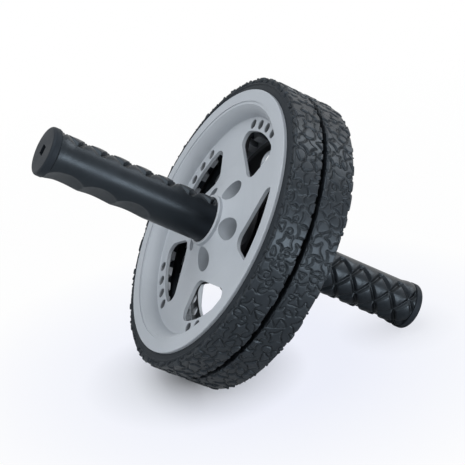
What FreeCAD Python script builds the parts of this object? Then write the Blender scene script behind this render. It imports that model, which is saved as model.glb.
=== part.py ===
import FreeCAD, Part
import Sketcher
import math
import os

# Double-wheel ab roller in millimetres.
# The axle lies along Y through the origin, which is the middle of the wheel pair. +Z is up.
# Each side piece is drawn once with its axis along local Z and its outer end towards local +Z,
# then turned so that local +Z points to -Y (left) or +Y (right).

doc = FreeCAD.newDocument("AbRoller")
sheet = doc.addObject("Spreadsheet::Sheet", "Sizes")

SIZES = [
    ("wheel_radius", 92.5, "tread crown of the tyre"),
    ("tyre_gap", 2.6, "gap between the two tyres"),
    ("tyre_width", 19.2, "one tyre, side to side"),
    ("tyre_side", 8.5, "tyre side that shows outside the flange"),
    ("flange_radius", "=wheel_radius - tyre_side", "outer edge of the grey flange"),
    ("flange_lip", 8.0, "reach of the flange past the tyre bore"),
    ("tyre_bore_radius", "=flange_radius - flange_lip", "tyre bore, which is also its seat on the disc"),
    ("tyre_shoulder", 1.5, "rounding from tread to outer sidewall"),
    ("tyre_inner_edge", 1.2, "rounding of the tread beside the gap"),
    ("bead_round", 0.45, "round of the raised ring line on the tyre side"),
    ("bead_offset", 4.3, "its place, out from the flange edge"),
    ("flange_face", 22.6, "flange face, from the middle plane"),
    ("flange_thick", "=flange_face - tyre_gap / 2 - tyre_width", "thickness of the flange lip over the tyre"),
    ("flange_width", 7.6, "width of the flat flange"),
    ("flange_inner", "=flange_radius - flange_width", "inner edge of the flat flange"),
    ("flange_step", 0.5, "fine step inside the flange"),
    ("flange_ledge", 1.8, "width of the ledge after that step"),
    ("bowl_width", 6.8, "width of ledge and bowl wall, seen along the axle"),
    ("bowl_foot", "=flange_inner - bowl_width", "where the bowl wall meets the floor"),
    ("bowl_curve", 12.0, "radius of the rounded bowl wall"),
    ("floor_face", 13.2, "disc floor, from the middle plane"),
    ("floor_thick", 2.4, "wall of the disc floor"),
    ("gutter_rise", 0.4, "foot of the bowl above the floor"),
    ("gutter_width", 0.6, "width of the crease at the bowl foot"),
    ("cove_start", 38.0, "where the floor begins to rise to the hub"),
    ("cove_curve", 55.0, "radius of that rise"),
    ("cove_top", 19.8, "height of the rise at the collar"),
    ("collar_radius", 16.0, "outer radius of the hub collar"),
    ("collar_face", 22.2, "collar face, from the middle plane"),
    ("collar_clearance", 0.5, "gap between collar and grip"),
    ("collar_round", 0.6, "rounding of collar and flange"),
    ("hub_radius", 13.5, "hub tube behind the floor"),
    ("hub_back_radius", 34.0, "thick boss behind the recesses"),
    ("hub_back_face", 5.5, "back of that boss, from the middle plane"),
    ("hub_face", 18.6, "seat of the outer bush, from the middle plane"),
    ("window_margin", 8.7, "floor left between a window and the bowl"),
    ("window_outer", "=bowl_foot - window_margin", "outer edge of a window"),
    ("window_heel_round", 5.8, "rounding of the outer corner on the slanting side"),
    ("window_toe_round", 6.5, "rounding of the outer corner on the steep side"),
    ("window_heel_angle", 57.3, "direction of the slanting side's corner"),
    ("window_toe_angle", 23.0, "direction of the steep side's corner"),
    ("window_tip_share", 0.715, "rounded tip, as a share of the way to the outer edge"),
    ("window_tip_reach", "=window_outer * window_tip_share", "centre of that tip, from the axis"),
    ("window_tip_angle", 28.0, "direction of the tip"),
    ("window_tip_round", 8.0, "rounding of the tip"),
    ("vent_margin", 4.4, "vent circle to the foot of the bowl"),
    ("vent_reach", "=bowl_foot - vent_margin", "vent circle"),
    ("vent_radius", 3.1, "vent hole"),
    ("vent_middle_angle", 42.5, "middle of a group of vents"),
    ("vent_pitch", 9.2, "angle from vent to vent"),
    ("recess_reach", 23.4, "circle of the round recesses"),
    ("recess_radius", 7.0, "round recess"),
    ("recess_angle", 30.0, "direction of a recess"),
    ("recess_floor", 8.0, "bottom of a recess, from the middle plane"),
    ("spoke_count", 5, "windows, recesses and spokes"),
    ("web_thick", 2.6, "long rib behind each spoke"),
    ("web_start", 5.0, "free edge of the long ribs, from the middle plane"),
    ("rib_gap", 0.3, "gap between the ribs and the tyre bore"),
    ("rib_end", "=tyre_bore_radius - rib_gap", "outer end of long and short ribs"),
    ("gusset_count", 40, "short ribs behind the bowl"),
    ("gusset_length", 5.7, "length of a short rib"),
    ("gusset_thick", 5.5, "thickness of a short rib"),
    ("gusset_start", 4.0, "free edge of the short ribs, from the middle plane"),
    ("axle_radius", 6.0, "steel rod"),
    ("axle_half", 108.0, "half length of the rod"),
    ("axle_chamfer", 0.8, "chamfer of the rod ends"),
    ("running_clearance", 0.05, "radial gap of a bush on the rod"),
    ("axial_play", 0.1, "end play of a wheel"),
    ("bush_radius", 8.5, "outside of a bush, which is also the hub bore"),
    ("bush_flange_radius", 11.0, "flange of a bush"),
    ("bush_flange", 1.0, "thickness of that flange"),
    ("bush_length", 7.5, "barrel length of a bush"),
    ("spacer_half", 1.1, "half thickness of the spacer between the hubs"),
    ("washer_thick", 1.0, "thrust washer"),
    ("washer_radius", 10.0, "outside of the thrust washer"),
    ("core_radius", 10.0, "outside of the handle core, which is also the grip bore"),
    ("core_draw", 2.0, "room between the rod end and the washer, to draw up the screw"),
    ("core_shoulder", "=axle_half + core_draw", "bottom of the core's pocket, from the middle plane"),
    ("core_pocket_radius", 7.8, "pocket in the core for the screw and the cap plug"),
    ("core_pocket", 16.0, "depth of that pocket"),
    ("core_end", "=core_shoulder + core_pocket", "outer end of core and grip, from the middle plane"),
    ("grip_radius", 13.8, "grip outside"),
    ("grip_end_radius", 14.6, "swelling of the grip at the cap"),
    ("grip_swell", 9.0, "length of that swelling"),
    ("finger_radius", 28.0, "round of a finger scallop"),
    ("finger_depth", 2.8, "depth of a finger scallop"),
    ("finger_inset", 12.5, "outermost scallop to the end of the grip"),
    ("finger_pitch", 21.8, "scallop to scallop"),
    ("cap_lip", 0.3, "how far the end cap stands proud of the grip"),
    ("cap_thick", 5.0, "thickness of the end cap outside the grip"),
    ("cap_round", 2.0, "rounding of its outer edge"),
    ("cap_seam", 0.4, "rounding of its edge beside the grip"),
    ("cap_plug", 6.0, "length of the plug in the core"),
    ("key_hole", 6.0, "square hole for the key, across flats"),
    ("screw_radius", 3.0, "shank of the cap screw, which is also the tapped hole"),
    ("screw_shank", 20.0, "shank length"),
    ("screw_tail", 1.5, "tapped depth past the screw point"),
    ("screw_head_radius", 5.0, "head of the cap screw"),
    ("screw_head", 6.0, "height of the head"),
    ("screw_socket", 5.0, "hexagon socket, across flats"),
    ("screw_socket_depth", 3.0, "depth of the socket"),
    ("seat_washer_radius", 7.2, "washer under the screw head"),
    ("seat_washer_thick", 1.6, "thickness of that washer"),
    ("left_wheel_turn", 54.0, "rest angle of the left wheel about its axis"),
    ("right_wheel_turn", 64.0, "rest angle of the right wheel about its axis"),
    ("left_grip_turn", 218.0, "direction of the left finger scallops"),
    ("right_grip_turn", 83.0, "direction of the right finger scallops"),
]

for row, (word, number, note) in enumerate(SIZES, start=1):
    sheet.set("A%d" % row, word)
    sheet.set("B%d" % row, str(number))
    sheet.setAlias("B%d" % row, word)
    sheet.set("C%d" % row, note)
doc.recompute()


def size(word):
    """Value of one named size."""
    return float(sheet.get(word))


def bind(text):
    """Turn a formula in size words into one that reads the sheet."""
    words = sorted((entry[0] for entry in SIZES), key=len, reverse=True)
    out = ""
    place = 0
    while place < len(text):
        hit = None
        if text[place].isalpha() and (place == 0 or not (text[place - 1].isalnum() or text[place - 1] == "_")):
            for word in words:
                end = place + len(word)
                tail = text[end:end + 1]
                if text.startswith(word, place) and not (tail.isalnum() or tail == "_"):
                    hit = word
                    break
        if hit:
            out += "Sizes." + hit
            place += len(hit)
        else:
            out += text[place]
            place += 1
    return out


def value(text):
    """Number that a formula in size words gives."""
    result = sheet.evalExpression(bind(text))
    return float(getattr(result, "Value", result))


def plane(body, role):
    """One of a body's own origin planes or axes."""
    for feature in body.Origin.OriginFeatures:
        if feature.Role == role:
            return feature
    raise ValueError(role)


def new_body(label):
    body = doc.addObject("PartDesign::Body", label)
    body.Label = label
    return body


def new_sketch(body, name, role, height=None):
    """Sketch on an origin plane, lifted by a formula along its normal if one is given."""
    sketch = body.newObject("Sketcher::SketchObject", body.Name + "_" + name)
    sketch.AttachmentSupport = [(plane(body, role), "")]
    sketch.MapMode = "FlatFace"
    if height is not None:
        sketch.setExpression("AttachmentOffset.Base.z", bind(height))
    return sketch


def drive(sketch, constraint, formula, name):
    """Add one dimension that follows a formula."""
    index = sketch.addConstraint(constraint)
    sketch.renameConstraint(index, name)
    sketch.setExpression("Constraints." + name, bind(formula))


def outline(sketch, corners):
    """Closed outline from (x, y) formulas, with a third entry for the radius of an arc to the next corner.

    A positive radius bends the arc to the left of its direction of travel, a leading minus to the right.
    """
    spots = [FreeCAD.Vector(value(corner[0]), value(corner[1]), 0) for corner in corners]
    count = len(corners)
    arcs = {}
    for i in range(count):
        first = spots[i]
        last = spots[(i + 1) % count]
        if len(corners[i]) == 2:
            sketch.addGeometry(Part.LineSegment(first, last), False)
            continue
        hollow = corners[i][2].startswith("-")
        radius = value(corners[i][2].lstrip("-"))
        middle = (first + last) * 0.5
        run = last - first
        side = FreeCAD.Vector(-run.y, run.x, 0)
        side.normalize()
        reach = math.sqrt(max(radius ** 2 - (run.Length / 2) ** 2, 0.0))
        centre = middle - side * reach if hollow else middle + side * reach
        start_angle = math.atan2(first.y - centre.y, first.x - centre.x)
        end_angle = math.atan2(last.y - centre.y, last.x - centre.x)
        circle = Part.Circle(centre, FreeCAD.Vector(0, 0, 1), radius)
        if hollow:
            sketch.addGeometry(Part.ArcOfCircle(circle, end_angle, start_angle), False)
        else:
            sketch.addGeometry(Part.ArcOfCircle(circle, start_angle, end_angle), False)
        arcs[i] = hollow

    def ends(index):
        return (2, 1) if arcs.get(index) else (1, 2)

    for i in range(count):
        follower = (i + 1) % count
        sketch.addConstraint(Sketcher.Constraint("Coincident", i, ends(i)[1], follower, ends(follower)[0]))
    for i, corner in enumerate(corners):
        spot = spots[i]
        point = ends(i)[0]
        drive(sketch, Sketcher.Constraint("DistanceX", -1, 1, i, point, spot.x), corner[0], "x%d" % i)
        drive(sketch, Sketcher.Constraint("DistanceY", -1, 1, i, point, spot.y), corner[1], "y%d" % i)
        if i in arcs:
            formula = corner[2].lstrip("-")
            drive(sketch, Sketcher.Constraint("Radius", i, value(formula)), formula, "bend%d" % i)


def turned(body, corners):
    """Solid of revolution about local Z from (radius, height) formulas."""
    sketch = new_sketch(body, "profile", "XZ_Plane")
    outline(sketch, corners)
    doc.recompute()
    feature = body.newObject("PartDesign::Revolution", body.Name + "_turned")
    feature.Profile = sketch
    feature.ReferenceAxis = (sketch, ["V_Axis"])
    feature.Angle = 360.0
    sketch.Visibility = False
    doc.recompute()
    return feature


def round_edges(body, feature, rings, formula, kind="Fillet"):
    """Round or chamfer the circular edges at the given (radius, height) formulas."""
    wanted = [(value(radius), value(height)) for radius, height in rings]
    names = []
    for index, edge in enumerate(feature.Shape.Edges, start=1):
        if not isinstance(edge.Curve, Part.Circle):
            continue
        for radius, height in wanted:
            if abs(edge.Curve.Radius - radius) < 0.01 and abs(edge.Curve.Center.z - height) < 0.01:
                names.append("Edge%d" % index)
    result = body.newObject("PartDesign::" + kind, body.Name + "_" + kind.lower() + str(len(body.Group)))
    result.Base = (feature, names)
    word = "Radius" if kind == "Fillet" else "Size"
    result.setExpression(word, bind(formula))
    feature.Visibility = False
    doc.recompute()
    return result


def cut(body, sketch, name, depth):
    """Pocket of a given depth below the sketch."""
    feature = body.newObject("PartDesign::Pocket", body.Name + "_" + name)
    feature.Profile = sketch
    feature.setExpression("Length", bind(depth))
    sketch.Visibility = False
    return feature


def raise_up(body, sketch, name, height):
    """Pad of a given height above the sketch."""
    feature = body.newObject("PartDesign::Pad", body.Name + "_" + name)
    feature.Profile = sketch
    feature.setExpression("Length", bind(height))
    sketch.Visibility = False
    return feature


def around(body, features, name, count):
    """Repeat features about local Z."""
    pattern = body.newObject("PartDesign::PolarPattern", body.Name + "_" + name)
    pattern.Originals = features
    pattern.Axis = (plane(body, "Z_Axis"), [""])
    pattern.Angle = 360.0
    pattern.setExpression("Occurrences", bind(count))
    body.Tip = pattern
    doc.recompute()
    return pattern


def stand(body, side, turn=None):
    """Turn a piece from its own axis to its side of the roller."""
    quarter = 90.0 if side == "left" else -90.0
    body.Placement = FreeCAD.Placement(FreeCAD.Vector(), FreeCAD.Rotation(FreeCAD.Vector(1, 0, 0), quarter))
    if turn is not None:
        spin = FreeCAD.Rotation(FreeCAD.Vector(0, 0, 1), size(turn))
        body.Placement = body.Placement * FreeCAD.Placement(FreeCAD.Vector(), spin)


def window_sketch(body):
    """Swept window: a rim arc, two rounded outer corners and a rounded tip."""
    sketch = new_sketch(body, "window_outline", "XY_Plane", "collar_face")
    up = FreeCAD.Vector(0, 0, 1)
    heel_round = size("window_heel_round")
    toe_round = size("window_toe_round")
    tip_round = size("window_tip_round")
    outer = size("window_outer")

    def polar(reach, angle):
        return FreeCAD.Vector(reach * math.cos(math.radians(angle)), reach * math.sin(math.radians(angle)), 0)

    def tangent_side(start, start_radius, stop, stop_radius):
        run = stop - start
        share = (start_radius - stop_radius) / run.Length
        run.normalize()
        right = FreeCAD.Vector(run.y, -run.x, 0)
        return right * math.sqrt(1 - share ** 2) + run * share

    toe = polar(outer - toe_round, size("window_toe_angle"))
    heel = polar(outer - heel_round, size("window_heel_angle"))
    tip = polar(size("window_tip_reach"), size("window_tip_angle"))
    slant = tangent_side(heel, heel_round, tip, tip_round)
    steep = tangent_side(tip, tip_round, toe, toe_round)

    def angle_of(vector):
        return math.atan2(vector.y, vector.x)

    sketch.addGeometry(Part.ArcOfCircle(Part.Circle(FreeCAD.Vector(), up, outer), angle_of(toe), angle_of(heel)))
    sketch.addGeometry(Part.ArcOfCircle(Part.Circle(heel, up, heel_round), angle_of(heel), angle_of(slant)))
    sketch.addGeometry(Part.LineSegment(heel + slant * heel_round, tip + slant * tip_round))
    sketch.addGeometry(Part.ArcOfCircle(Part.Circle(tip, up, tip_round), angle_of(slant), angle_of(steep)))
    sketch.addGeometry(Part.LineSegment(tip + steep * tip_round, toe + steep * toe_round))
    sketch.addGeometry(Part.ArcOfCircle(Part.Circle(toe, up, toe_round), angle_of(steep), angle_of(toe)))
    for i in range(6):
        sketch.addConstraint(Sketcher.Constraint("Tangent", i, 2, (i + 1) % 6, 1))
    sketch.addConstraint(Sketcher.Constraint("Coincident", 0, 3, -1, 1))
    drive(sketch, Sketcher.Constraint("Radius", 0, outer), "window_outer", "rim")
    drive(sketch, Sketcher.Constraint("Radius", 1, heel_round), "window_heel_round", "heel_round")
    drive(sketch, Sketcher.Constraint("Radius", 3, tip_round), "window_tip_round", "tip_round")
    drive(sketch, Sketcher.Constraint("Radius", 5, toe_round), "window_toe_round", "toe_round")
    drive(sketch, Sketcher.Constraint("DistanceX", -1, 1, 1, 3, heel.x),
          "(window_outer - window_heel_round) * cos(window_heel_angle)", "heel_x")
    drive(sketch, Sketcher.Constraint("DistanceX", -1, 1, 5, 3, toe.x),
          "(window_outer - window_toe_round) * cos(window_toe_angle)", "toe_x")
    drive(sketch, Sketcher.Constraint("DistanceX", -1, 1, 3, 3, tip.x),
          "window_tip_reach * cos(window_tip_angle)", "tip_x")
    drive(sketch, Sketcher.Constraint("DistanceY", -1, 1, 3, 3, tip.y),
          "window_tip_reach * sin(window_tip_angle)", "tip_y")
    return sketch


def holes_sketch(body, name, height, holes):
    """Round holes from (x formula, y formula, radius word)."""
    sketch = new_sketch(body, name, "XY_Plane", height)
    for i, (across, along, radius) in enumerate(holes):
        centre = FreeCAD.Vector(value(across), value(along), 0)
        sketch.addGeometry(Part.Circle(centre, FreeCAD.Vector(0, 0, 1), value(radius)))
        drive(sketch, Sketcher.Constraint("DistanceX", -1, 1, i, 3, centre.x), across, "x%d" % i)
        drive(sketch, Sketcher.Constraint("DistanceY", -1, 1, i, 3, centre.y), along, "y%d" % i)
        drive(sketch, Sketcher.Constraint("Radius", i, value(radius)), radius, "hole%d" % i)
    return sketch


def rib_sketch(body, name, height, inner, outer, thick):
    """Rectangle along local X, centred on the axis line, for a rib."""
    sketch = new_sketch(body, name, "XY_Plane", height)
    near = value(inner)
    far = value(outer)
    half = value(thick) / 2
    spots = [(near, -half), (far, -half), (far, half), (near, half)]
    for i in range(4):
        first = FreeCAD.Vector(spots[i][0], spots[i][1], 0)
        last = FreeCAD.Vector(spots[(i + 1) % 4][0], spots[(i + 1) % 4][1], 0)
        sketch.addGeometry(Part.LineSegment(first, last))
    for i in range(4):
        sketch.addConstraint(Sketcher.Constraint("Coincident", i, 2, (i + 1) % 4, 1))
    sketch.addConstraint(Sketcher.Constraint("Horizontal", 0))
    sketch.addConstraint(Sketcher.Constraint("Horizontal", 2))
    sketch.addConstraint(Sketcher.Constraint("Vertical", 1))
    sketch.addConstraint(Sketcher.Constraint("Symmetric", 3, 2, 3, 1, -1))
    drive(sketch, Sketcher.Constraint("DistanceX", -1, 1, 0, 1, near), inner, "inner")
    drive(sketch, Sketcher.Constraint("DistanceX", -1, 1, 0, 2, far), outer, "outer")
    drive(sketch, Sketcher.Constraint("DistanceY", 1, 1, 1, 2, 2 * half), thick, "thick")
    return sketch


def make_disc(side):
    """Grey moulded wheel disc."""
    body = new_body(side + "_disc")
    hub_start = "spacer_half + axial_play + bush_flange"
    step = "flange_face - flange_step"
    grip_room = "grip_radius + collar_clearance"
    shell = turned(body, [
        ("bush_radius", hub_start),
        ("hub_radius", hub_start),
        ("hub_radius", "hub_back_face"),
        ("hub_back_radius", "hub_back_face"),
        ("cove_start - gutter_width", "floor_face - floor_thick"),
        ("tyre_bore_radius", "floor_face - floor_thick"),
        ("tyre_bore_radius", "flange_face - flange_thick"),
        ("flange_radius", "flange_face - flange_thick"),
        ("flange_radius", "flange_face"),
        ("flange_inner", "flange_face"),
        ("flange_inner", step),
        ("flange_inner - flange_ledge", step, "bowl_curve"),
        ("bowl_foot", "floor_face + gutter_rise"),
        ("bowl_foot - gutter_width", "floor_face"),
        ("cove_start", "floor_face", "-cove_curve"),
        ("collar_radius", "cove_top"),
        ("collar_radius", "collar_face"),
        (grip_room, "collar_face"),
        (grip_room, "hub_face"),
        ("bush_radius", "hub_face"),
    ])
    shell = round_edges(body, shell, [("collar_radius", "collar_face"), ("flange_radius", "flange_face")],
                        "collar_round")
    long_rib = raise_up(body, rib_sketch(body, "web_outline", "web_start", "hub_radius - 1",
                                         "rib_end", "web_thick"),
                        "web", "floor_face - floor_thick - web_start + 1")
    doc.recompute()
    around(body, [long_rib], "webs", "spoke_count")
    short_rib = raise_up(body, rib_sketch(body, "gusset_outline", "gusset_start", "rib_end - gusset_length",
                                          "rib_end", "gusset_thick"),
                         "gusset", "floor_face - floor_thick - gusset_start + 1")
    doc.recompute()
    around(body, [short_rib], "gussets", "gusset_count")
    through = "collar_face - gusset_start + 2"
    window = cut(body, window_sketch(body), "window", through)
    doc.recompute()
    vents = []
    for i in range(4):
        angle = "(vent_middle_angle + vent_pitch * %s)" % (i - 1.5)
        vents.append(("vent_reach * cos" + angle, "vent_reach * sin" + angle, "vent_radius"))
    vent = cut(body, holes_sketch(body, "vent_circles", "collar_face", vents), "vents", through)
    doc.recompute()
    dimple = [("recess_reach * cos(recess_angle)", "recess_reach * sin(recess_angle)", "recess_radius")]
    recess = cut(body, holes_sketch(body, "recess_circle", "collar_face", dimple), "recess",
                 "collar_face - recess_floor")
    doc.recompute()
    around(body, [window, vent, recess], "spokes", "spoke_count")
    stand(body, side, side + "_wheel_turn")
    return body


def make_tyre(side):
    """Rubber tyre, which sits behind the flange."""
    body = new_body(side + "_tyre")
    inner = "tyre_gap / 2"
    outer = "tyre_gap / 2 + tyre_width"
    shape = turned(body, [
        ("tyre_bore_radius", inner),
        ("wheel_radius", inner),
        ("wheel_radius", outer),
        ("tyre_bore_radius", outer),
    ])
    shape = round_edges(body, shape, [("wheel_radius", outer)], "tyre_shoulder")
    round_edges(body, shape, [("wheel_radius", inner)], "tyre_inner_edge")
    sketch = new_sketch(body, "bead_circle", "XZ_Plane")
    across = "flange_radius + bead_offset"
    along = outer
    centre = FreeCAD.Vector(value(across), value(along), 0)
    sketch.addGeometry(Part.Circle(centre, FreeCAD.Vector(0, 0, 1), size("bead_round")))
    drive(sketch, Sketcher.Constraint("DistanceX", -1, 1, 0, 3, centre.x), across, "across")
    drive(sketch, Sketcher.Constraint("DistanceY", -1, 1, 0, 3, centre.y), along, "along")
    drive(sketch, Sketcher.Constraint("Radius", 0, size("bead_round")), "bead_round", "bead")
    doc.recompute()
    bead = body.newObject("PartDesign::Revolution", body.Name + "_bead")
    bead.Profile = sketch
    bead.ReferenceAxis = (sketch, ["V_Axis"])
    bead.Angle = 360.0
    sketch.Visibility = False
    doc.recompute()
    stand(body, side)
    return body


def make_sleeve(label, side, inner, outer, low, high):
    """Plain ring or tube."""
    body = new_body(label)
    turned(body, [(inner, low), (outer, low), (outer, high), (inner, high)])
    stand(body, side)
    return body


def make_bushes(side):
    """Flanged bushes at both ends of a hub."""
    bore = "axle_radius + running_clearance"
    inner = new_body(side + "_inner_bush")
    turned(inner, [
        (bore, "spacer_half + axial_play"),
        ("bush_flange_radius", "spacer_half + axial_play"),
        ("bush_flange_radius", "spacer_half + axial_play + bush_flange"),
        ("bush_radius", "spacer_half + axial_play + bush_flange"),
        ("bush_radius", "spacer_half + axial_play + bush_flange + bush_length"),
        (bore, "spacer_half + axial_play + bush_flange + bush_length"),
    ])
    stand(inner, side)
    outer = new_body(side + "_outer_bush")
    turned(outer, [
        (bore, "hub_face - bush_length"),
        ("bush_radius", "hub_face - bush_length"),
        ("bush_radius", "hub_face"),
        ("bush_flange_radius", "hub_face"),
        ("bush_flange_radius", "hub_face + bush_flange"),
        (bore, "hub_face + bush_flange"),
    ])
    stand(outer, side)
    return [inner, outer]


WASHER_LOW = "hub_face + bush_flange + axial_play"
CORE_LOW = WASHER_LOW + " + washer_thick"
SCREW_SEAT = "core_shoulder + seat_washer_thick"


def make_core(side):
    """Stiff handle tube with a pocket for the screw."""
    body = new_body(side + "_handle_core")
    turned(body, [
        ("axle_radius", CORE_LOW),
        ("core_radius", CORE_LOW),
        ("core_radius", "core_end"),
        ("core_pocket_radius", "core_end"),
        ("core_pocket_radius", "core_shoulder"),
        ("axle_radius", "core_shoulder"),
    ])
    stand(body, side)
    return body


def make_grip(side):
    """Soft sleeve with three finger scallops."""
    body = new_body(side + "_grip")
    shape = turned(body, [
        ("core_radius", CORE_LOW),
        ("grip_radius", CORE_LOW),
        ("grip_radius", "core_end - grip_swell"),
        ("grip_end_radius", "core_end - grip_swell / 3"),
        ("grip_end_radius", "core_end"),
        ("core_radius", "core_end"),
    ])
    sketch = new_sketch(body, "finger_circles", "YZ_Plane")
    for i in range(3):
        across = "grip_radius + finger_radius - finger_depth"
        along = "core_end - finger_inset - finger_pitch * %d" % i
        centre = FreeCAD.Vector(value(across), value(along), 0)
        sketch.addGeometry(Part.Circle(centre, FreeCAD.Vector(0, 0, 1), size("finger_radius")))
        drive(sketch, Sketcher.Constraint("DistanceX", -1, 1, i, 3, centre.x), across, "x%d" % i)
        drive(sketch, Sketcher.Constraint("DistanceY", -1, 1, i, 3, centre.y), along, "y%d" % i)
        drive(sketch, Sketcher.Constraint("Radius", i, size("finger_radius")), "finger_radius", "round%d" % i)
    fingers = cut(body, sketch, "fingers", "4 * grip_end_radius")
    fingers.Midplane = True
    doc.recompute()
    if fingers.Shape.Volume >= shape.Shape.Volume:
        raise ValueError("finger scallops cut nothing")
    stand(body, side, side + "_grip_turn")
    return body


def make_cap(side):
    """Rounded end cap with a square hole for the key."""
    body = new_body(side + "_end_cap")
    edge = "grip_end_radius + cap_lip"
    face = "core_end + cap_thick"
    shape = turned(body, [
        ("key_hole / 4", "core_end - cap_plug"),
        ("core_pocket_radius", "core_end - cap_plug"),
        ("core_pocket_radius", "core_end"),
        (edge, "core_end"),
        (edge, face),
        ("key_hole / 4", face),
    ])
    shape = round_edges(body, shape, [(edge, face)], "cap_round")
    shape = round_edges(body, shape, [(edge, "core_end")], "cap_seam")
    sketch = new_sketch(body, "key_square", "XY_Plane", face)
    half = size("key_hole") / 2
    spots = [(-half, -half), (half, -half), (half, half), (-half, half)]
    for i in range(4):
        first = FreeCAD.Vector(spots[i][0], spots[i][1], 0)
        last = FreeCAD.Vector(spots[(i + 1) % 4][0], spots[(i + 1) % 4][1], 0)
        sketch.addGeometry(Part.LineSegment(first, last))
    for i in range(4):
        sketch.addConstraint(Sketcher.Constraint("Coincident", i, 2, (i + 1) % 4, 1))
    sketch.addConstraint(Sketcher.Constraint("Horizontal", 0))
    sketch.addConstraint(Sketcher.Constraint("Vertical", 1))
    sketch.addConstraint(Sketcher.Constraint("Horizontal", 2))
    sketch.addConstraint(Sketcher.Constraint("Symmetric", 0, 1, 1, 2, -1, 1))
    drive(sketch, Sketcher.Constraint("DistanceX", 0, 1, 0, 2, 2 * half), "key_hole", "across")
    drive(sketch, Sketcher.Constraint("DistanceY", 1, 1, 1, 2, 2 * half), "key_hole", "along")
    cut(body, sketch, "key_way", "cap_thick + cap_plug + 1")
    doc.recompute()
    stand(body, side)
    return body


def make_screw(side):
    """Cap screw with a hexagon socket."""
    body = new_body(side + "_retaining_screw")
    stem = [
        ("screw_radius", SCREW_SEAT + " - screw_shank"),
        ("screw_radius", SCREW_SEAT),
        ("screw_head_radius", SCREW_SEAT),
        ("screw_head_radius", SCREW_SEAT + " + screw_head"),
    ]
    sketch = new_sketch(body, "profile", "XZ_Plane")
    spots = [FreeCAD.Vector(value(across), value(along), 0) for across, along in stem]
    spots.append(FreeCAD.Vector(0, spots[3].y, 0))
    spots.append(FreeCAD.Vector(0, spots[0].y, 0))
    for i in range(6):
        sketch.addGeometry(Part.LineSegment(spots[i], spots[(i + 1) % 6]))
    for i in range(6):
        sketch.addConstraint(Sketcher.Constraint("Coincident", i, 2, (i + 1) % 6, 1))
    for i, (across, along) in enumerate(stem):
        drive(sketch, Sketcher.Constraint("DistanceX", -1, 1, i, 1, spots[i].x), across, "x%d" % i)
        drive(sketch, Sketcher.Constraint("DistanceY", -1, 1, i, 1, spots[i].y), along, "y%d" % i)
    sketch.addConstraint(Sketcher.Constraint("Horizontal", 3))
    sketch.addConstraint(Sketcher.Constraint("Horizontal", 5))
    sketch.addConstraint(Sketcher.Constraint("PointOnObject", 4, 1, -2))
    sketch.addConstraint(Sketcher.Constraint("PointOnObject", 4, 2, -2))
    doc.recompute()
    feature = body.newObject("PartDesign::Revolution", body.Name + "_turned")
    feature.Profile = sketch
    feature.ReferenceAxis = (sketch, ["V_Axis"])
    feature.Angle = 360.0
    sketch.Visibility = False
    doc.recompute()
    socket = new_sketch(body, "socket_outline", "XY_Plane", SCREW_SEAT + " + screw_head")
    reach = size("screw_socket") / math.sqrt(3)
    spots = [FreeCAD.Vector(reach * math.cos(math.radians(60 * i)), reach * math.sin(math.radians(60 * i)), 0)
             for i in range(6)]
    for i in range(6):
        socket.addGeometry(Part.LineSegment(spots[i], spots[(i + 1) % 6]))
    socket.addGeometry(Part.Circle(FreeCAD.Vector(), FreeCAD.Vector(0, 0, 1), reach), True)
    for i in range(6):
        socket.addConstraint(Sketcher.Constraint("Coincident", i, 2, (i + 1) % 6, 1))
        socket.addConstraint(Sketcher.Constraint("PointOnObject", i, 1, 6))
    for i in range(1, 6):
        socket.addConstraint(Sketcher.Constraint("Equal", 0, i))
    socket.addConstraint(Sketcher.Constraint("Coincident", 6, 3, -1, 1))
    socket.addConstraint(Sketcher.Constraint("PointOnObject", 0, 1, -1))
    drive(socket, Sketcher.Constraint("Radius", 6, reach), "screw_socket / sqrt(3)", "reach")
    cut(body, socket, "socket", "screw_socket_depth")
    doc.recompute()
    stand(body, side)
    return body


def make_axle():
    """Steel rod with a tapped hole in each end."""
    body = new_body("axle_rod")
    sketch = new_sketch(body, "circle", "XY_Plane", "-axle_half")
    sketch.addGeometry(Part.Circle(FreeCAD.Vector(), FreeCAD.Vector(0, 0, 1), size("axle_radius")))
    sketch.addConstraint(Sketcher.Constraint("Coincident", 0, 3, -1, 1))
    drive(sketch, Sketcher.Constraint("Radius", 0, size("axle_radius")), "axle_radius", "rod")
    rod = raise_up(body, sketch, "rod", "2 * axle_half")
    doc.recompute()
    rod = round_edges(body, rod, [("axle_radius", "axle_half"), ("axle_radius", "-axle_half")],
                      "axle_chamfer", "Chamfer")
    depth = "axle_half - core_shoulder - seat_washer_thick + screw_shank + screw_tail"
    for name, height, flip in [("right_tap", "axle_half", False), ("left_tap", "-axle_half", True)]:
        hole = new_sketch(body, name + "_circle", "XY_Plane", height)
        hole.addGeometry(Part.Circle(FreeCAD.Vector(), FreeCAD.Vector(0, 0, 1), size("screw_radius")))
        hole.addConstraint(Sketcher.Constraint("Coincident", 0, 3, -1, 1))
        drive(hole, Sketcher.Constraint("Radius", 0, size("screw_radius")), "screw_radius", "tap")
        before = body.Tip.Shape.Volume
        pocket = cut(body, hole, name, depth)
        pocket.Reversed = flip
        doc.recompute()
        if pocket.Shape.Volume >= before:
            raise ValueError(name + " cuts nothing")
    stand(body, "right")
    return body


pieces = [make_axle()]
spacer = new_body("centre_spacer")
ring = new_sketch(spacer, "rings", "XY_Plane", "-spacer_half")
for place, word in enumerate(["axle_radius", "bush_flange_radius"]):
    ring.addGeometry(Part.Circle(FreeCAD.Vector(), FreeCAD.Vector(0, 0, 1), size(word)))
    ring.addConstraint(Sketcher.Constraint("Coincident", place, 3, -1, 1))
    drive(ring, Sketcher.Constraint("Radius", place, size(word)), word, "ring%d" % place)
raise_up(spacer, ring, "ring", "2 * spacer_half")
doc.recompute()
stand(spacer, "right")
pieces.append(spacer)

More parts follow.
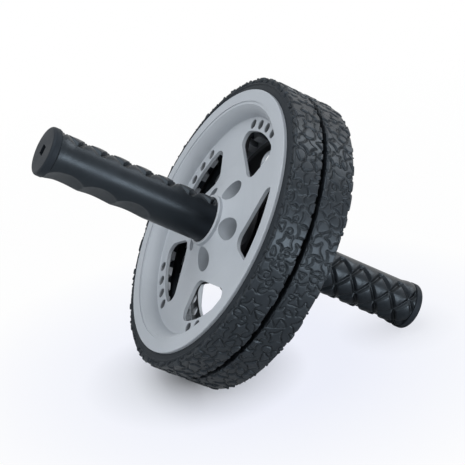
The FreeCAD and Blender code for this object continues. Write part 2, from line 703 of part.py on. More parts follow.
for side in ["left", "right"]:
    pieces.append(make_disc(side))
    pieces.append(make_tyre(side))
    pieces.extend(make_bushes(side))
    pieces.append(make_sleeve(side + "_thrust_washer", side, "axle_radius", "washer_radius", WASHER_LOW, CORE_LOW))
    pieces.append(make_core(side))
    pieces.append(make_grip(side))
    pieces.append(make_cap(side))
    pieces.append(make_screw(side))
    pieces.append(make_sleeve(side + "_retaining_washer", side, "screw_radius", "seat_washer_radius",
                              "core_shoulder", SCREW_SEAT))

doc.recompute()
for item in doc.Objects:
    if "Invalid" in item.State or "Error" in item.State:
        raise ValueError("broken feature: " + item.Label)
os.makedirs("parts", exist_ok=True)
for piece in pieces:
    if piece.Shape.isNull() or not piece.Shape.isValid():
        raise ValueError("bad solid: " + piece.Label)
    if len(piece.Shape.Solids) != 1:
        raise ValueError("not one solid: " + piece.Label)
    piece.Shape.exportStep("parts/" + piece.Label + ".step")
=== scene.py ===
import math

import bpy
import numpy as np
from mathutils import Matrix, Vector


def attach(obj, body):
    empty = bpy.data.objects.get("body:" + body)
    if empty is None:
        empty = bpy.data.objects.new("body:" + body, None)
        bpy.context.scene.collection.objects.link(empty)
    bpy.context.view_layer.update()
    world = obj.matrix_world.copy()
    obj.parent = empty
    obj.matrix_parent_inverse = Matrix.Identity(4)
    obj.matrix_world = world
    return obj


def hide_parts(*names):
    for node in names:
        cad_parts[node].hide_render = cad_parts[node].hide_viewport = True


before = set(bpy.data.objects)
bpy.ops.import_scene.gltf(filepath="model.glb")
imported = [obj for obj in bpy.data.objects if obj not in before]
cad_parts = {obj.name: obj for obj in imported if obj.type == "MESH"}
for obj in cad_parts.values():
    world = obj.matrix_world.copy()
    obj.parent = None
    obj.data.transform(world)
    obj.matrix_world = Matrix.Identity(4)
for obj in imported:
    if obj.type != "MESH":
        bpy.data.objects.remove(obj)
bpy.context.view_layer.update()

MM = 0.001
SIDES = ("left", "right")
COOL_TINT = (0.72, 0.86, 1.0, 1.0)
# Painted shade: near-black colours drawn in the rubber's grooves and lattice lines, where shade falls.
GROOVE_PAINTED_SHADES = (0.001, 0.0012, 0.0015), (0.002, 0.0023, 0.0028)
LAMP_COLOUR = (0.95, 0.98, 1.0)


# Mesh helpers. Angles run from +Z towards +X about the axle; v is the distance from the middle plane.

def ring_mesh(name, points, fields):
    """Mesh from points[column, row, xyz] that closes on itself both ways, with named float fields."""
    columns, rows = points.shape[:2]
    here = np.arange(columns * rows).reshape(columns, rows)
    right = np.roll(here, -1, axis=0)
    up = np.roll(here, -1, axis=1)
    both = np.roll(right, -1, axis=1)
    quads = np.stack([here, right, both, up], axis=-1).reshape(-1, 4)
    flat = points.reshape(-1, 3)
    corner = flat[quads]
    facing = np.cross(corner[:, 2] - corner[:, 0], corner[:, 3] - corner[:, 1])
    if np.sum(facing * corner.mean(axis=1)) < 0:
        quads = quads[:, ::-1]
    mesh = bpy.data.meshes.new(name)
    mesh.vertices.add(len(flat))
    mesh.vertices.foreach_set("co", np.ascontiguousarray(flat, np.float32).ravel())
    mesh.loops.add(quads.size)
    mesh.loops.foreach_set("vertex_index", np.ascontiguousarray(quads, np.int32).ravel())
    mesh.polygons.add(len(quads))
    mesh.polygons.foreach_set("loop_start", np.arange(0, quads.size, 4, dtype=np.int32))
    mesh.polygons.foreach_set("use_smooth", np.ones(len(quads), bool))
    for word, values in fields.items():
        layer = mesh.attributes.new(word, "FLOAT", "POINT")
        layer.data.foreach_set("value", np.ascontiguousarray(values, np.float32).ravel())
    mesh.update()
    mesh.validate()
    piece = bpy.data.objects.new(name, mesh)
    bpy.context.scene.collection.objects.link(piece)
    return piece


def smooth(low, high, x):
    """Step from 0 at low to 1 at high with eased ends."""
    t = np.clip((x - low) / (high - low), 0.0, 1.0)
    return t * t * (3.0 - 2.0 * t)


def soft_min(a, b, width):
    """Smaller of two fields with a rounded crossing."""
    h = np.clip(0.5 + 0.5 * (b - a) / width, 0.0, 1.0)
    return b + (a - b) * h - width * h * (1.0 - h)


# Tread.

def outline_distance(px, py, outline):
    """Signed distance to a closed outline, negative inside."""
    distance = np.full(px.shape, 1e9)
    inside = np.zeros(px.shape, bool)
    for i in range(len(outline)):
        ax, ay = outline[i - 1]
        bx, by = outline[i]
        ex, ey = bx - ax, by - ay
        t = np.clip(((px - ax) * ex + (py - ay) * ey) / (ex * ex + ey * ey + 1e-12), 0.0, 1.0)
        distance = np.minimum(distance, np.hypot(px - ax - t * ex, py - ay - t * ey))
        inside ^= ((ay > py) != (by > py)) & (px < ex * (py - ay) / (by - ay + 1e-12) + ax)
    return np.where(inside, -distance, distance)


def island_outline(kind, reach, pick):
    """Closed outline of one tread block about its own centre, in mm."""
    turn = pick.uniform(0.0, 2.0 * math.pi)
    if kind in ("star", "wedge"):
        tips = pick.randint(4, 6) if kind == "star" else 3
        hollow = pick.uniform(0.12, 0.3) if kind == "star" else pick.uniform(0.3, 0.55)
        corners = []
        for i in range(tips):
            angle = turn + 2.0 * math.pi * (i + pick.uniform(-0.16, 0.16)) / tips
            far = reach * pick.uniform(0.78, 1.0)
            corners.append((far * math.cos(angle), far * math.sin(angle), angle))
        points = []
        for i in range(tips):
            x0, y0, a0 = corners[i]
            x1, y1, a1 = corners[(i + 1) % tips]
            if i == tips - 1:
                a1 += 2.0 * math.pi
            middle = 0.5 * (a0 + a1)
            cx, cy = reach * hollow * math.cos(middle), reach * hollow * math.sin(middle)
            for s in np.linspace(0.0, 1.0, 8)[:-1]:
                points.append(((1 - s) ** 2 * x0 + 2 * s * (1 - s) * cx + s * s * x1,
                               (1 - s) ** 2 * y0 + 2 * s * (1 - s) * cy + s * s * y1))
        return np.array(points)
    angles = np.linspace(0.0, 2.0 * math.pi, 22, endpoint=False)
    slim = pick.uniform(0.55, 0.85)
    x = reach * np.cos(angles)
    y = reach * slim * np.sin(angles)
    if kind == "drop":
        y = y * (0.62 - 0.38 * np.cos(angles))
    if kind == "bean":
        y = y + 0.35 * reach * (x / reach) ** 2
    cosine, sine = math.cos(turn), math.sin(turn)
    return np.stack([x * cosine - y * sine, x * sine + y * cosine], axis=-1)


def tread_field(around, across, seed):
    """Distance in mm to the nearest block outline, and that block's share of the full height."""
    pick = np.random.RandomState(seed)
    columns, rows = len(around), len(across)
    far_off, corner_round, margin = 40.0, 0.15, 5.0
    distance = np.full((columns, rows), far_off)
    level = np.zeros((columns, rows))
    # Kinds of block, least and most reach in mm, tries, room needed as a share of the reach, gap in mm.
    layers = [
        (("star",), 4.8, 6.2, 900, 0.6, 1.5),
        (("wedge", "bean", "wedge"), 3.2, 4.2, 1800, 0.78, 1.2),
        (("drop", "oval", "wedge"), 2.1, 2.9, 3500, 0.88, 1.0),
        (("oval", "drop"), 1.2, 1.6, 1500, 1.0, 1.0),
    ]
    for kinds, least, most, tries, share, moat in layers:
        for _ in range(tries):
            column = pick.randint(columns)
            row = pick.randint(rows)
            reach = pick.uniform(least, most)
            kind = kinds[pick.randint(len(kinds))]
            if distance[column, row] < reach * share + moat:
                continue
            outline = island_outline(kind, reach, pick)
            span = int(math.ceil((most + margin) / around[1]))
            near = np.arange(column - span, column + span + 1)
            x = (near * around[1] - around[column])[:, None] + np.zeros((1, rows))
            y = (across - across[row])[None, :] + np.zeros((len(near), 1))
            found = outline_distance(x, y, outline) - corner_round
            wrapped = near % columns
            old = distance[wrapped]
            closer = found < old
            distance[wrapped] = np.where(closer, found, old)
            level[wrapped] = np.where(closer, pick.uniform(0.75, 1.1), level[wrapped])
    return distance, level


def make_tyre(side, seed):
    """Rubber tyre with moulded blocks over crown and shoulder, and a ring line on its smooth side."""
    crown, shoulder, edge = 92.5, 1.5, 1.2
    inner, outer = 1.3, 20.5
    bore, flange, ring_radius = 76.0, 84.0, 88.3
    sink, block_height, groove_depth, groove_at, groove_width = 0.35, 0.66, 0.62, 0.32, 0.4
    ring_height, ring_width = 0.42, 0.36
    crease_depth, crease_width, crease_at = 0.2, 0.4, 0.95
    textured_side = 4.2
    columns = 1500
    # Rows of the profile: radius, v, direction of the normal in degrees, place across the tread if any.
    profile = [(radius, inner, -90.0, None) for radius in (bore, 84.0, 88.0, 90.6)]
    for a in np.linspace(-90.0, -15.0, 6):
        t = math.radians(a)
        profile.append((crown - edge + edge * math.cos(t), inner + edge + edge * math.sin(t), a, edge * t))
    flat = outer - shoulder - inner - edge
    for s in np.linspace(0.0, flat, 36)[:-1]:
        profile.append((crown, inner + edge + s, 0.0, s))
    for a in np.linspace(0.0, 90.0, 8):
        t = math.radians(a)
        profile.append((crown - shoulder + shoulder * math.cos(t), outer - shoulder + shoulder * math.sin(t),
                        a, flat + shoulder * t))
    corner = flat + shoulder * math.pi / 2
    for s in np.linspace(0.0, textured_side, 15)[1:]:
        profile.append((crown - shoulder - s, outer, 90.0, corner + s))
    smooth_side = [(radius, outer, 90.0, None) for radius in (85.6, flange + 0.2, bore)]
    profile += smooth_side
    place = np.array([[r, v, math.cos(math.radians(a)), math.sin(math.radians(a))] for r, v, a, _ in profile])
    tread = [i for i, row in enumerate(profile) if row[3] is not None]
    across = np.array([profile[i][3] for i in tread])
    around = np.arange(columns) * (2.0 * math.pi * crown / columns)
    distance, level = tread_field(around, across, seed)
    block = block_height * level * smooth(0.15, -0.25, distance)
    groove = -groove_depth * np.exp(-((distance - groove_at) / groove_width) ** 2)
    ring_at = corner + crown - shoulder - ring_radius
    inside_ring = smooth(ring_at - 0.5, ring_at - 1.2, across) * smooth(-1.9, -1.2, across)
    relief = (block + groove) * inside_ring[None, :]
    lift = relief - sink * smooth(ring_at - 0.3, ring_at - 1.5, across)[None, :]
    lift += ring_height * np.exp(-((across - ring_at) / ring_width) ** 2)[None, :]
    lift -= crease_depth * np.exp(-((across - ring_at - crease_at) / crease_width) ** 2)[None, :]
    whole = np.zeros((columns, len(profile)))
    whole[:, tread] = lift
    # This relief also drives the painted shade in the tread grooves.
    mark = np.zeros((columns, len(profile)))
    mark[:, tread] = relief
    angle = 2.0 * math.pi * np.arange(columns) / columns
    radius = place[None, :, 0] + whole * place[None, :, 2]
    along = place[None, :, 1] + whole * place[None, :, 3]
    sign = -1.0 if side == "left" else 1.0
    sine, cosine = np.sin(angle)[:, None], np.cos(angle)[:, None]
    points = np.stack([radius * sine, sign * along, radius * cosine], axis=-1)
    wall = np.zeros((columns, len(profile)))
    wall[:, tread] = smooth(corner - 1.2, corner + 0.6, across)[None, :]
    wall[:, -len(smooth_side):] = 1.0
    piece = ring_mesh(side + "_tyre_tread", points * MM, {"relief": mark, "wall": wall})
    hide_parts(side + "_tyre")
    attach(piece, side + "_wheel")
    return piece


# Grips.

def make_grip(side, first_row, order, node_at, scallop_at):
    """Rubber grip with a diamond lattice, a bare band and three finger scallops.

    first_row and scallop_at are angles in degrees; order is -1 or 1 for the way the lattice rows run;
    node_at is the distance from the middle plane of one crossing of the lattice lines, in mm.
    """
    start, end = 20.7, 126.0
    base, swell = 13.8, 14.6
    bore, bore_edge = 10.0, 1.2
    pitch, row_step, rows_wide = 14.8, 42.0, 4
    depth, half, line_floor = 2.1, 1.9, 0.85
    crown_height, crown_sink = 0.3, 0.2
    columns = 320
    along = np.linspace(start, end, 296)
    angle = np.arange(columns) * (360.0 / columns)
    profile = base + (swell - base) * smooth(end - 9.0, end - 2.5, along)
    for from_end, edge_round in ((along - start, 0.9), (end - along, 0.35)):
        short = np.clip(1.0 - from_end / edge_round, 0, 1)
        profile = profile - edge_round * (1.0 - np.sqrt(np.clip(1.0 - short ** 2, 0, 1)))
    radius = np.repeat(profile[None, :], columns, axis=0)

    step = order * (angle - first_row)
    step = (step + 60.0) % 360.0 - 60.0
    p = (step / (2.0 * row_step))[:, None]
    q = ((along - node_at) / pitch)[None, :]
    width_of_row = math.radians(2.0 * row_step) * base
    slope = math.hypot(1.0 / pitch, 1.0 / width_of_row)
    one = np.abs((q + p + 0.5) % 1.0 - 0.5) / slope
    other = np.abs((q - p + 0.5) % 1.0 - 0.5) / slope
    nearest = np.minimum(one, other)
    cut = np.maximum(0.0, 1.0 - nearest / half)
    cut = depth * np.where(cut > line_floor, line_floor + (cut - line_floor) * 0.3, cut)
    crown = crown_height * smooth(half * 0.7, 5.2, nearest)
    last_row = row_step * rows_wide
    inside = smooth(-3.0, 1.0, step) * smooth(last_row + 3.0, last_row - 1.0, step)
    ends = smooth(start + 1.5, start + 3.0, along) * smooth(end + 0.2, end - 0.8, along)
    field = inside[:, None] * ends[None, :]
    radius = radius - cut * field + (crown - crown_sink) * field

    finger, finger_depth, finger_pitch, finger_first = 28.0, 2.9, 21.8, end - 12.5
    finger_reach, beyond, least_facing = 13.0, 99.0, 0.2
    off = np.radians(angle - scallop_at)
    off = (off + math.pi) % (2.0 * math.pi) - math.pi
    uncut = radius
    for i in range(3):
        away = along - (finger_first - finger_pitch * i)
        limit = base + finger - finger_depth - np.sqrt(np.clip(finger ** 2 - away ** 2, 0.0, None))
        limit = np.where(np.abs(away) < finger_reach, limit, beyond)
        facing = np.cos(off)[:, None]
        reach = np.where(facing > least_facing, limit[None, :] / np.clip(facing, least_facing, 1.0), beyond)
        radius = soft_min(radius, reach, 0.5)

    turn = np.radians(angle)[:, None]
    sign = -1.0 if side == "left" else 1.0

    def hoops(r, v):
        return np.stack([r * np.sin(turn), sign * (v + 0.0 * r * turn), r * np.cos(turn)], axis=-1)

    points = np.concatenate([
        hoops(bore, start), hoops(bore + bore_edge, start),
        hoops(radius, along[None, :]),
        hoops(bore + bore_edge, end), hoops(bore, end),
    ], axis=1)
    # This relief also drives the painted shade in the lattice lines.
    relief_for_shade = np.zeros(points.shape[:2])
    relief_for_shade[:, 2:-2] = np.clip(crown / crown_height, 0.0, 1.0) * field - cut / depth * field
    scallop = np.zeros(points.shape[:2])
    full_scallop = 0.8
    scallop[:, 2:-2] = np.clip((uncut - radius) / full_scallop, 0.0, 1.0)
    piece = ring_mesh(side + "_grip_sleeve", points * MM, {"relief": relief_for_shade, "scallop": scallop})
    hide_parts(side + "_grip")
    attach(piece, "handlebar")
    return piece


# Materials. Texture sizes are in the object's own metres.

def new_material(name):
    made = bpy.data.materials.new(name)
    made.use_nodes = True
    tree = made.node_tree
    tree.nodes.clear()
    shader = tree.nodes.new("ShaderNodeBsdfPrincipled")
    out = tree.nodes.new("ShaderNodeOutputMaterial")
    tree.links.new(shader.outputs["BSDF"], out.inputs["Surface"])
    return made, tree, shader


def noise(tree, scale, detail=4.0, roughness=0.55):
    place = tree.nodes.new("ShaderNodeTexCoord")
    made = tree.nodes.new("ShaderNodeTexNoise")
    made.inputs["Scale"].default_value = scale
    made.inputs["Detail"].default_value = detail
    made.inputs["Roughness"].default_value = roughness
    tree.links.new(place.outputs["Object"], made.inputs["Vector"])
    return made.outputs["Fac"]


def spread(tree, source, low, high, to_low, to_high):
    made = tree.nodes.new("ShaderNodeMapRange")
    made.inputs["From Min"].default_value = low
    made.inputs["From Max"].default_value = high
    made.inputs["To Min"].default_value = to_low
    made.inputs["To Max"].default_value = to_high
    tree.links.new(source, made.inputs["Value"])
    return made.outputs["Result"]


def tint(tree, factor, dark, light):
    made = tree.nodes.new("ShaderNodeMix")
    made.data_type = "RGBA"
    made.inputs["A"].default_value = (*dark, 1.0)
    made.inputs["B"].default_value = (*light, 1.0)
    tree.links.new(factor, made.inputs["Factor"])
    return made.outputs["Result"]


def mix_colours(tree, factor, first, second):
    made = tree.nodes.new("ShaderNodeMix")
    made.data_type = "RGBA"
    tree.links.new(first, made.inputs["A"])
    tree.links.new(second, made.inputs["B"])
    tree.links.new(factor, made.inputs["Factor"])
    return made.outputs["Result"]


def add(tree, first, second, share):
    """First plus a share of second."""
    made = tree.nodes.new("ShaderNodeMath")
    made.operation = "MULTIPLY_ADD"
    made.inputs[1].default_value = share
    tree.links.new(second, made.inputs[0])
    tree.links.new(first, made.inputs[2])
    return made.outputs["Value"]


def combine(tree, operation, first, second):
    made = tree.nodes.new("ShaderNodeMath")
    made.operation = operation
    tree.links.new(first, made.inputs[0])
    tree.links.new(second, made.inputs[1])
    return made.outputs["Value"]


def times(tree, first, second):
    return combine(tree, "MULTIPLY", first, second)


def larger(tree, first, second):
    return combine(tree, "MAXIMUM", first, second)


def patchy(tree, cloud, dark, light):
    """Two close shades in soft patches."""
    return tint(tree, spread(tree, cloud, 0.3, 0.7, 0.0, 1.0), dark, light)


def bump(tree, shader, height, distance, strength):
    made = tree.nodes.new("ShaderNodeBump")
    made.inputs["Distance"].default_value = distance
    made.inputs["Strength"].default_value = strength
    tree.links.new(height, made.inputs["Height"])
    tree.links.new(made.outputs["Normal"], shader.inputs["Normal"])


def field_of(tree, word):
    made = tree.nodes.new("ShaderNodeAttribute")
    made.attribute_name = word
    return made.outputs["Fac"]


def wheel_place(tree):
    """Distance from the axle and from the middle plane, in metres."""
    place = tree.nodes.new("ShaderNodeTexCoord")
    flat = tree.nodes.new("ShaderNodeVectorMath")
    flat.operation = "MULTIPLY"
    flat.inputs[1].default_value = (1.0, 0.0, 1.0)
    tree.links.new(place.outputs["Object"], flat.inputs[0])
    length = tree.nodes.new("ShaderNodeVectorMath")
    length.operation = "LENGTH"
    tree.links.new(flat.outputs["Vector"], length.inputs[0])
    radius = length.outputs["Value"]
    parts = tree.nodes.new("ShaderNodeSeparateXYZ")
    tree.links.new(place.outputs["Object"], parts.inputs["Vector"])
    depth = tree.nodes.new("ShaderNodeMath")
    depth.operation = "ABSOLUTE"
    tree.links.new(parts.outputs["Y"], depth.inputs[0])
    return radius, depth.outputs["Value"]


def inside_shade_mask(tree, radius, v):
    """Painted shade mask: 1 on the side of a disc that faces the other wheel, which is drawn near black for
    the shade inside the wheel; 0 on its face and on the rib blocks at its rim.
    """
    past_boss = spread(tree, radius, 0.0325, 0.0335, 0.0, 1.0)
    short_of_ribs = spread(tree, radius, 0.065, 0.067, 1.0, 0.0)
    floor_back = times(tree, spread(tree, v, 0.01082, 0.0112, 1.0, 0.0), past_boss)
    hub_back = spread(tree, v, 0.0072, 0.0078, 1.0, 0.0)
    return times(tree, larger(tree, floor_back, hub_back), short_of_ribs)


def recess_shade_mask(tree, radius, v):
    """How much painted shade a spot gets that lies down in a round recess or a vent."""
    near_hub = spread(tree, radius, 0.031, 0.032, 1.0, 0.0)
    past_windows = spread(tree, radius, 0.0613, 0.0618, 0.0, 1.0)
    short_of_bowl = spread(tree, radius, 0.0690, 0.0695, 1.0, 0.0)
    recess = times(tree, spread(tree, v, 0.008, 0.0145, 0.45, 0.0), near_hub)
    vent = times(tree, spread(tree, v, 0.0122, 0.0130, 0.8, 0.0), past_windows)
    return larger(tree, recess, times(tree, vent, short_of_bowl))


def disc_plastic():
    """Satin grey moulded plastic with fine grain and faint flow marks, with painted shade: darker down in the
    round recesses and vents, and black on the side that faces the other wheel.
    """
    made, tree, shader = new_material("disc_plastic_grey")
    flow = noise(tree, 28.0, 5.0, 0.6)
    grain = noise(tree, 2200.0, 2.0)
    grey = patchy(tree, flow, (0.4, 0.424, 0.455), (0.44, 0.465, 0.497))
    # Painted shade: dark grey drawn down in the round recesses and vents, where shade falls.
    recess_shade = tint(tree, flow, (0.07, 0.075, 0.08), (0.09, 0.095, 0.1))
    # Painted shade: near black drawn on the inner side of the disc where the wheel's inside lies in shade.
    black = tint(tree, flow, (0.009, 0.01, 0.012), (0.014, 0.015, 0.018))
    radius, v = wheel_place(tree)
    face = mix_colours(tree, recess_shade_mask(tree, radius, v), grey, recess_shade)
    tree.links.new(mix_colours(tree, inside_shade_mask(tree, radius, v), face, black), shader.inputs["Base Color"])
    rough = spread(tree, add(tree, flow, grain, 0.6), 0.4, 1.1, 0.4, 0.56)
    tree.links.new(rough, shader.inputs["Roughness"])
    shader.inputs["Specular IOR Level"].default_value = 0.4
    bump(tree, shader, add(tree, grain, flow, 0.4), 0.00005, 0.35)
    return made


def paint_groove_shade(tree, shader, cloud, own_colour, shade_deepest_at):
    """Base colour with painted shade in the grooves: from nearly black, where the relief is at the given
    depth, to the rubber's own colour on top.
    """
    tops = spread(tree, field_of(tree, "relief"), shade_deepest_at, 0.1, 0.0, 1.0)
    dark = tint(tree, cloud, *GROOVE_PAINTED_SHADES)
    tree.links.new(mix_colours(tree, tops, dark, own_colour), shader.inputs["Base Color"])


def tyre_rubber():
    """Dull black rubber with painted shade in the moulded grooves, and duller on the side walls."""
    made, tree, shader = new_material("tyre_rubber_black")
    cloud = noise(tree, 60.0, 5.0, 0.65)
    grain = noise(tree, 1500.0, 3.0, 0.6)
    own_colour = patchy(tree, cloud, (0.007, 0.0085, 0.0105), (0.012, 0.014, 0.017))
    paint_groove_shade(tree, shader, cloud, own_colour, -0.4)
    skin = spread(tree, add(tree, cloud, grain, 0.5), 0.4, 1.0, 0.3, 0.48)
    tree.links.new(add(tree, skin, field_of(tree, "wall"), 0.3), shader.inputs["Roughness"])
    shader.inputs["Specular IOR Level"].default_value = 0.34
    shader.inputs["Specular Tint"].default_value = COOL_TINT
    bump(tree, shader, add(tree, grain, cloud, 0.5), 0.00012, 0.4)
    return made


def grip_rubber():
    """Soft black grip rubber with a fine skin, painted shade in the lattice lines, and duller in the
    scallops.
    """
    made, tree, shader = new_material("grip_rubber_black")
    cloud = noise(tree, 75.0, 5.0, 0.6)
    grain = noise(tree, 2600.0, 2.0, 0.6)
    own_colour = patchy(tree, cloud, (0.004, 0.005, 0.0065), (0.007, 0.0085, 0.0105))
    paint_groove_shade(tree, shader, cloud, own_colour, -0.7)
    skin = spread(tree, add(tree, cloud, grain, 0.5), 0.4, 1.0, 0.26, 0.42)
    tree.links.new(add(tree, skin, field_of(tree, "scallop"), 0.17), shader.inputs["Roughness"])
    shader.inputs["Specular IOR Level"].default_value = 0.36
    shader.inputs["Specular Tint"].default_value = COOL_TINT
    bump(tree, shader, add(tree, grain, cloud, 0.3), 0.00006, 0.35)
    return made


def moulded_plastic(name, shade, rough):
    """Moulded plastic with a fine spark-eroded grain."""
    made, tree, shader = new_material(name)
    cloud = noise(tree, 90.0, 4.0, 0.6)
    grain = noise(tree, 2400.0, 2.0)
    low = tuple(0.8 * c for c in shade)
    tree.links.new(patchy(tree, cloud, low, shade), shader.inputs["Base Color"])
    tree.links.new(spread(tree, add(tree, cloud, grain, 0.5), 0.4, 1.0, rough - 0.07, rough + 0.08),
                   shader.inputs["Roughness"])
    shader.inputs["Specular IOR Level"].default_value = 0.16
    shader.inputs["Specular Tint"].default_value = COOL_TINT
    bump(tree, shader, grain, 0.00005, 0.3)
    return made


def plain_steel(name, shade, rough):
    """Turned steel with fine rings about the axle."""
    made, tree, shader = new_material(name)
    place = tree.nodes.new("ShaderNodeTexCoord")
    rings = tree.nodes.new("ShaderNodeTexWave")
    rings.wave_type = "BANDS"
    rings.bands_direction = "Y"
    rings.inputs["Scale"].default_value = 900.0
    rings.inputs["Distortion"].default_value = 1.5
    tree.links.new(place.outputs["Object"], rings.inputs["Vector"])
    cloud = noise(tree, 120.0, 4.0, 0.6)
    low = tuple(0.82 * c for c in shade)
    tree.links.new(tint(tree, cloud, low, shade), shader.inputs["Base Color"])
    shader.inputs["Metallic"].default_value = 1.0
    turned = add(tree, cloud, rings.outputs["Fac"], 0.3)
    tree.links.new(spread(tree, turned, 0.2, 1.0, rough - 0.06, rough + 0.1), shader.inputs["Roughness"])
    bump(tree, shader, rings.outputs["Fac"], 0.00003, 0.3)
    return made


def paint(name, made):
    """Give a material to one CAD piece."""
    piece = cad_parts[name]
    piece.data.materials.clear()
    piece.data.materials.append(made)


def dress(words, made):
    """Give a material to the CAD pieces of both sides whose names end so."""
    for side in SIDES:
        for word in words:
            paint(side + word, made)


rubber = tyre_rubber()
soft = grip_rubber()
for side, seed in (("left", 11), ("right", 29)):
    make_tyre(side, seed).data.materials.append(rubber)
left_sleeve = make_grip("left", first_row=31.0, order=-1.0, node_at=100.0, scallop_at=147.0)
right_sleeve = make_grip("right", first_row=20.0, order=1.0, node_at=84.5, scallop_at=-97.0)
left_sleeve.data.materials.append(soft)
right_sleeve.data.materials.append(soft)
dress(["_disc"], disc_plastic())
dress(["_end_cap"], moulded_plastic("cap_plastic_black", (0.015, 0.018, 0.0225), 0.52))
dress(["_handle_core"], moulded_plastic("core_plastic_black", (0.02, 0.022, 0.025), 0.5))
dress(["_inner_bush", "_outer_bush"], moulded_plastic("bush_plastic_white", (0.62, 0.61, 0.57), 0.45))
steel = plain_steel("axle_steel_bright", (0.6, 0.6, 0.61), 0.32)
paint("axle_rod", steel)
paint("centre_spacer", steel)
dress(["_thrust_washer"], steel)
dress(["_retaining_screw", "_retaining_washer"], plain_steel("screw_steel_zinc", (0.55, 0.56, 0.58), 0.38))


# Stage: the roller leans on the far tyre and the far end cap, so the floor is tilted in the part's frame.

LEAN = math.radians(35.2)
DROP = 0.0872
WHEEL_TOUCH = (0.0, 0.0205, -0.0922)
CAP_TOUCH = (0.0, 0.1305, -0.0146)
up = Vector((0.0, -math.sin(LEAN), math.cos(LEAN)))
side_axis = Vector((1.0, 0.0, 0.0))
far_axis = up.cross(side_axis)


def make_floor():
    """White floor with painted light: a glow seen only by the camera washes out its shadow except near the
    two contacts and turns bluish grey near the roller as a painted shade; the floor fades out into the
    background.
    """
    made = bpy.data.meshes.new("floor")
    reach = 0.9
    centre = -DROP * up
    corners = [centre + side_axis * (reach * sx) + far_axis * (reach * sy)
               for sx, sy in ((-1, -1), (1, -1), (1, 1), (-1, 1))]
    made.from_pydata([tuple(c) for c in corners], [], [(0, 1, 2, 3)])
    made.update()
    floor = bpy.data.objects.new("floor", made)
    bpy.context.scene.collection.objects.link(floor)
    coat = bpy.data.materials.new("floor_white")
    coat.use_nodes = True
    tree = coat.node_tree
    tree.nodes.clear()
    matt = tree.nodes.new("ShaderNodeBsdfDiffuse")
    matt.inputs["Color"].default_value = (0.82, 0.82, 0.82, 1.0)
    glow = tree.nodes.new("ShaderNodeEmission")
    glow.inputs["Strength"].default_value = 1.0
    spot = tree.nodes.new("ShaderNodeTexCoord")

    def away_from(point):
        away = tree.nodes.new("ShaderNodeVectorMath")
        away.operation = "DISTANCE"
        away.inputs[1].default_value = tuple(point)
        tree.links.new(spot.outputs["Object"], away.inputs[0])
        return away.outputs["Value"]

    path = tree.nodes.new("ShaderNodeLightPath")
    # Painted light: the camera-only glow whitens the floor and hides its real shadow beyond the two contacts.
    near_wheel = spread(tree, away_from(WHEEL_TOUCH), 0.005, 0.07, 0.0, 0.97)
    near_cap = spread(tree, away_from(CAP_TOUCH), 0.0, 0.04, 0.75, 1.0)
    painted_glow_share = times(tree, times(tree, near_wheel, near_cap), path.outputs["Is Camera Ray"])
    # Painted shade: the glow is tinted bluish grey near the roller, for a bluish shadow.
    cool = spread(tree, away_from(centre), 0.06, 0.2, 0.0, 1.0)
    tree.links.new(tint(tree, cool, (0.86, 0.88, 0.97), (1.0, 1.0, 1.0)), glow.inputs["Color"])
    both = tree.nodes.new("ShaderNodeMixShader")
    tree.links.new(painted_glow_share, both.inputs["Fac"])
    tree.links.new(matt.outputs["BSDF"], both.inputs[1])
    tree.links.new(glow.outputs["Emission"], both.inputs[2])
    clear = tree.nodes.new("ShaderNodeBsdfTransparent")
    fade = spread(tree, away_from(centre), 0.3, 0.62, 0.0, 1.0)
    geometry = tree.nodes.new("ShaderNodeNewGeometry")
    mixed = tree.nodes.new("ShaderNodeMixShader")
    tree.links.new(larger(tree, fade, geometry.outputs["Backfacing"]), mixed.inputs["Fac"])
    tree.links.new(both.outputs["Shader"], mixed.inputs[1])
    tree.links.new(clear.outputs["BSDF"], mixed.inputs[2])
    out = tree.nodes.new("ShaderNodeOutputMaterial")
    tree.links.new(mixed.outputs["Shader"], out.inputs["Surface"])
    made.materials.append(coat)


# Camera axes: right, up in the picture, and back towards the camera.
right = Vector((0.28866, 0.83976, 0.45987)).normalized()
back = Vector((0.89465, -0.40764, 0.18281)).normalized()
above = back.cross(right).normalized()
right = above.cross(back).normalized()


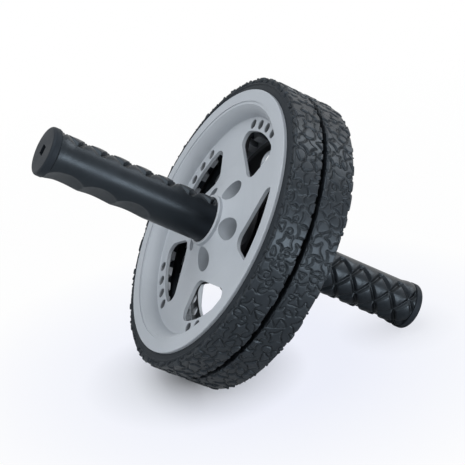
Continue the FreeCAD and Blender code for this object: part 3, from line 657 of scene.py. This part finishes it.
def lamp(name, place, size, power):
    """Rectangular lamp that points at the origin."""
    light = bpy.data.lights.new(name, "AREA")
    light.shape = "RECTANGLE"
    light.size, light.size_y = size
    light.energy = power
    light.color = LAMP_COLOUR
    holder = bpy.data.objects.new(name, light)
    holder.rotation_mode = "QUATERNION"
    holder.location = place
    holder.rotation_quaternion = (-Vector(place)).to_track_quat("-Z", "Y")
    bpy.context.scene.collection.objects.link(holder)


def make_world():
    """Dim cool room that looks white to the camera, through clear pieces and in reflections."""
    world = bpy.data.worlds.new("white_room")
    bpy.context.scene.world = world
    world.use_nodes = True
    tree = world.node_tree
    tree.nodes.clear()
    path = tree.nodes.new("ShaderNodeLightPath")
    seen = larger(tree, path.outputs["Is Camera Ray"], path.outputs["Is Transmission Ray"])
    seen = larger(tree, seen, path.outputs["Is Glossy Ray"])
    mixed = tree.nodes.new("ShaderNodeMixShader")
    tree.links.new(seen, mixed.inputs["Fac"])
    for place, colour, strength in ((1, (0.8, 0.89, 1.0, 1.0), 0.2), (2, (1.0, 1.0, 1.0, 1.0), 1.0)):
        glow = tree.nodes.new("ShaderNodeBackground")
        glow.inputs["Color"].default_value = colour
        glow.inputs["Strength"].default_value = strength
        tree.links.new(glow.outputs["Background"], mixed.inputs[place])
    out = tree.nodes.new("ShaderNodeOutputWorld")
    tree.links.new(mixed.outputs["Shader"], out.inputs["Surface"])


def make_camera():
    """Camera fitted to the photograph's view."""
    camera = bpy.data.cameras.new("camera")
    camera.sensor_width = 36.0
    camera.lens = 123.20
    camera.clip_start, camera.clip_end = 0.01, 20.0
    holder = bpy.data.objects.new("camera", camera)
    holder.rotation_mode = "QUATERNION"
    holder.rotation_quaternion = Matrix((right, above, back)).transposed().to_quaternion()
    holder.location = (0.85545, -0.39198, 0.17404)
    bpy.context.scene.collection.objects.link(holder)
    bpy.context.scene.camera = holder


make_floor()
lamp("top_box", up * 1.0 - right * 0.2 + back * 0.15, (0.9, 0.9), 7.0)
lamp("front_left_box", back * 1.1 - right * 0.8 + above * 0.35, (0.8, 1.0), 8.0)
lamp("rear_top_box", Vector((-0.12, 0.46, 1.0)), (0.4, 0.4), 2.6)
lamp("front_right_box", Vector((0.95, 0.45, 0.34)), (0.8, 0.3), 8.5)
make_world()
make_camera()
bpy.context.scene.view_settings.view_transform = "Standard"
